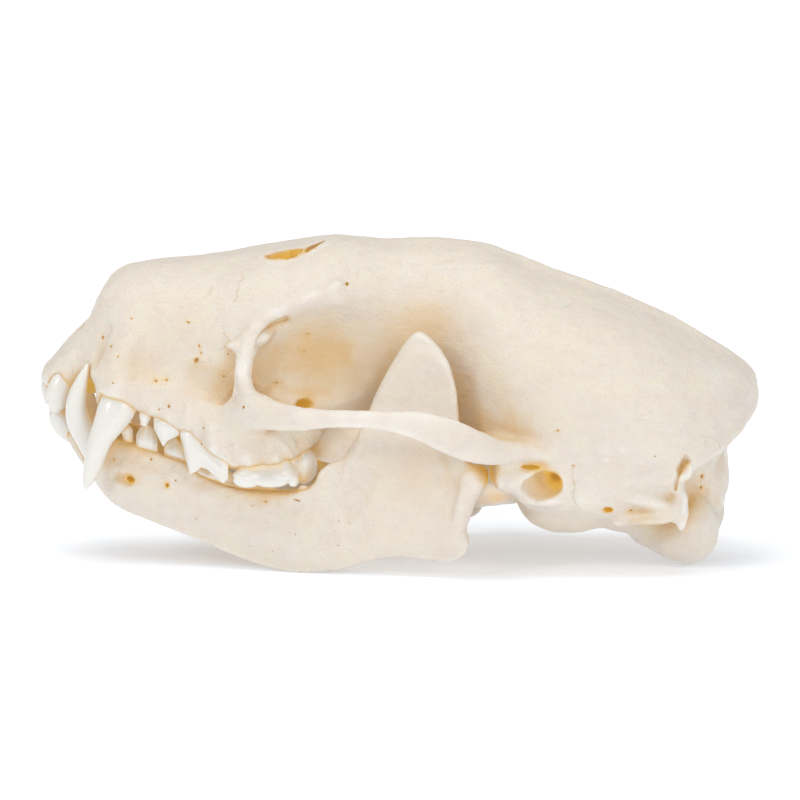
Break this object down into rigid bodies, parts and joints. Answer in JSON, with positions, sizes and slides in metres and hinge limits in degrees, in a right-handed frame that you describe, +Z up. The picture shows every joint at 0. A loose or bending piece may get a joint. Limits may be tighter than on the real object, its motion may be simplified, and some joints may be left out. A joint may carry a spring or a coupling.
{
  "type": "animal skull",
  "caption": "Cleaned skull of a small carnivore with its lower jaw closed in place, long canines, open cheek arches and a rounded braincase, resting on a table",
  "frame": {"origin": "middle of the skull's bounding box on the table plane, z = 0", "axes": "+X from snout to the back of the head, +Y from the animal's left to its right, +Z up from the table"},
  "size_m": [0.0754, 0.0464, 0.0342],
  "materials": {
    "bone": "dry bleached bone, matte with a faint sheen",
    "enamel": "glossy tooth enamel"
  },
  "bodies": {
    "root": {"cranium": "bone", "left_jaw": "bone", "left_lower_canine": "enamel", "left_lower_carnassial": "enamel", "left_lower_incisor_1": "enamel", "left_lower_incisor_2": "enamel", "left_lower_incisor_3": "enamel", "left_lower_molar_2": "enamel", "left_lower_premolar_2": "enamel", "left_lower_premolar_3": "enamel", "left_lower_premolar_4": "enamel", "left_upper_canine": "enamel", "left_upper_carnassial": "enamel", "left_upper_incisor_1": "enamel", "left_upper_incisor_2": "enamel", "left_upper_incisor_3": "enamel", "left_upper_molar_1": "enamel", "left_upper_premolar_2": "enamel", "left_upper_premolar_3": "enamel", "right_jaw": "bone", "right_lower_canine": "enamel", "right_lower_carnassial": "enamel", "right_lower_incisor_1": "enamel", "right_lower_incisor_2": "enamel", "right_lower_incisor_3": "enamel", "right_lower_molar_2": "enamel", "right_lower_premolar_2": "enamel", "right_lower_premolar_3": "enamel", "right_lower_premolar_4": "enamel", "right_upper_canine": "enamel", "right_upper_carnassial": "enamel", "right_upper_incisor_1": "enamel", "right_upper_incisor_2": "enamel", "right_upper_incisor_3": "enamel", "right_upper_molar_1": "enamel", "right_upper_premolar_2": "enamel", "right_upper_premolar_3": "enamel"}
  },
  "joints": []
}
